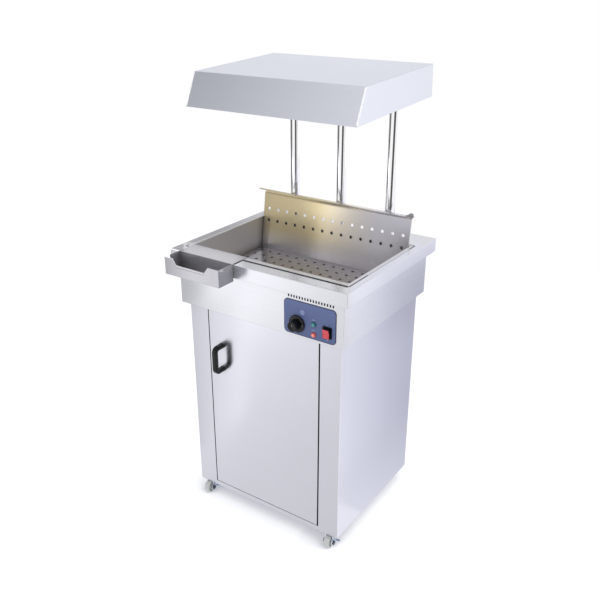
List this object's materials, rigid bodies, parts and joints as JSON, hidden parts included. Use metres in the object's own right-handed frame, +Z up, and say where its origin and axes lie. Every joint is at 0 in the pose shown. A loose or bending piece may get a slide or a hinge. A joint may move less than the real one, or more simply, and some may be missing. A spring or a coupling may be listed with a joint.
{
  "type": "chip scuttle",
  "caption": "Floor-standing heated chip scuttle: perforated insert in a well, lamp hood on chrome posts, scoop holder, control panel and a one-door cupboard on castors.",
  "frame": {"origin": "on the floor below the middle of the bounding box", "axes": "+X to the right seen from the front, +Y to the back, +Z up"},
  "size_m": [0.6, 0.581, 1.3673],
  "materials": {
    "stainless_brushed": "brushed stainless sheet",
    "well_steel": "satin stainless sheet",
    "chrome_tube": "polished",
    "zinc_plate": "bright zinc plated",
    "grey_wheel": "moulded",
    "black_plastic": "moulded",
    "panel_blue": "satin film",
    "green_lens": "clear lens",
    "orange_lens": "clear lens",
    "red_rocker": "clear red",
    "white_ceramic": "glazed",
    "lamp_glass": "frosted",
    "element_sheath": "heat stained",
    "copper": "drawn",
    "dark_plastic": "moulded",
    "wire_sheath": "extruded"
  },
  "bodies": {
    "base": {"cabinet_left_side": "stainless_brushed", "cabinet_right_side": "stainless_brushed", "cabinet_back": "stainless_brushed", "cabinet_floor": "stainless_brushed", "head_shell": "stainless_brushed", "head_floor": "stainless_brushed", "worktop": "stainless_brushed", "well_pan": "well_steel", "heating_element": "element_sheath", "thermostat_body": "dark_plastic", "thermostat_probe": "copper", "control_panel": "panel_blue", "power_indicator": "green_lens", "heating_indicator": "orange_lens", "rocker_housing": "black_plastic", "terminal_block": "white_ceramic", "cable_gland": "black_plastic", "wiring_loom": "wire_sheath", "post_left": "chrome_tube", "post_middle": "chrome_tube", "post_right": "chrome_tube", "post_collars": "chrome_tube", "hood_shell": "stainless_brushed", "hood_bracket": "stainless_brushed", "lamp_bar": "stainless_brushed", "lamp_sockets": "white_ceramic", "heat_lamp_left": "lamp_glass", "heat_lamp_right": "lamp_glass", "upper_hinge_pin": "zinc_plate", "lower_hinge_pin": "zinc_plate", "door_catch": "dark_plastic", "castor_plate_front_left": "zinc_plate", "castor_plate_front_right": "zinc_plate", "castor_plate_rear_left": "zinc_plate", "castor_plate_rear_right": "zinc_plate", "castor_bolts": "zinc_plate"},
    "door": {"door_panel": "stainless_brushed", "door_liner": "stainless_brushed", "door_handle": "black_plastic", "handle_screws": "zinc_plate", "catch_strike": "zinc_plate"},
    "knob": {"thermostat_knob": "black_plastic", "thermostat_spindle": "zinc_plate"},
    "rocker": {"rocker_button": "red_rocker"},
    "insert": {"perforated_insert": "well_steel"},
    "holder": {"scoop_holder": "stainless_brushed"},
    "swivel_front_left": {"castor_fork_front_left": "zinc_plate", "castor_axle_front_left": "zinc_plate"},
    "wheel_front_left": {"castor_wheel_front_left": "grey_wheel"},
    "brake_front_left": {"brake_lever_front_left": "zinc_plate"},
    "swivel_front_right": {"castor_fork_front_right": "zinc_plate", "castor_axle_front_right": "zinc_plate"},
    "wheel_front_right": {"castor_wheel_front_right": "grey_wheel"},
    "brake_front_right": {"brake_lever_front_right": "zinc_plate"},
    "swivel_rear_left": {"castor_fork_rear_left": "zinc_plate", "castor_axle_rear_left": "zinc_plate"},
    "wheel_rear_left": {"castor_wheel_rear_left": "grey_wheel"},
    "swivel_rear_right": {"castor_fork_rear_right": "zinc_plate", "castor_axle_rear_right": "zinc_plate"},
    "wheel_rear_right": {"castor_wheel_rear_right": "grey_wheel"}
  },
  "joints": [
    {"name": "door_hinge", "type": "hinge", "parent": "base", "child": "door", "pos_m": [0.187, -0.1845, 0.3736], "axis": [0, 0, 1], "range_deg": [0, 100]},
    {"name": "thermostat_turn", "type": "hinge", "parent": "base", "child": "knob", "pos_m": [0.138, -0.22, 0.732], "axis": [0, 1, 0], "range_deg": [0, 270]},
    {"name": "rocker_tilt", "type": "hinge", "parent": "base", "child": "rocker", "pos_m": [0.2335, -0.214, 0.7309], "axis": [-1, 0, 0], "range_deg": [0, 16]},
    {"name": "insert_lift", "type": "slide", "parent": "base", "child": "insert", "axis": [0, 0, 1], "range_m": [0, 0.14]},
    {"name": "holder_lift", "type": "slide", "parent": "base", "child": "holder", "axis": [0, 0, 1], "range_m": [0, 0.1]},
    {"name": "castor_swivel_front_left", "type": "hinge", "parent": "base", "child": "swivel_front_left", "pos_m": [-0.235, -0.167, 0.047], "axis": [0, 0, 1], "continuous": true},
    {"name": "wheel_spin_front_left", "type": "hinge", "parent": "swivel_front_left", "child": "wheel_front_left", "pos_m": [-0.23333, -0.19094, 0.02], "axis": [0.9976, 0.0698, 0], "continuous": true},
    {"name": "brake_press_front_left", "type": "hinge", "parent": "swivel_front_left", "child": "brake_front_left", "pos_m": [-0.23333, -0.19094, 0.02], "axis": [-0.9976, -0.0698, 0], "range_deg": [0, 25]},
    {"name": "castor_swivel_front_right", "type": "hinge", "parent": "base", "child": "swivel_front_right", "pos_m": [0.235, -0.167, 0.047], "axis": [0, 0, 1], "continuous": true},
    {"name": "wheel_spin_front_right", "type": "hinge", "parent": "swivel_front_right", "child": "wheel_front_right", "pos_m": [0.23667, -0.19094, 0.02], "axis": [0.9976, 0.0698, 0], "continuous": true},
    {"name": "brake_press_front_right", "type": "hinge", "parent": "swivel_front_right", "child": "brake_front_right", "pos_m": [0.23667, -0.19094, 0.02], "axis": [-0.9976, -0.0698, 0], "range_deg": [0, 25]},
    {"name": "castor_swivel_rear_left", "type": "hinge", "parent": "base", "child": "swivel_rear_left", "pos_m": [-0.235, 0.2233, 0.047], "axis": [0, 0, 1], "continuous": true},
    {"name": "wheel_spin_rear_left", "type": "hinge", "parent": "swivel_rear_left", "child": "wheel_rear_left", "pos_m": [-0.21136, 0.22747, 0.02], "axis": [-0.1736, 0.9848, 0], "continuous": true},
    {"name": "castor_swivel_rear_right", "type": "hinge", "parent": "base", "child": "swivel_rear_right", "pos_m": [0.235, 0.2233, 0.047], "axis": [0, 0, 1], "continuous": true},
    {"name": "wheel_spin_rear_right", "type": "hinge", "parent": "swivel_rear_right", "child": "wheel_rear_right", "pos_m": [0.21136, 0.22747, 0.02], "axis": [-0.1736, -0.9848, 0], "continuous": true}
  ]
}
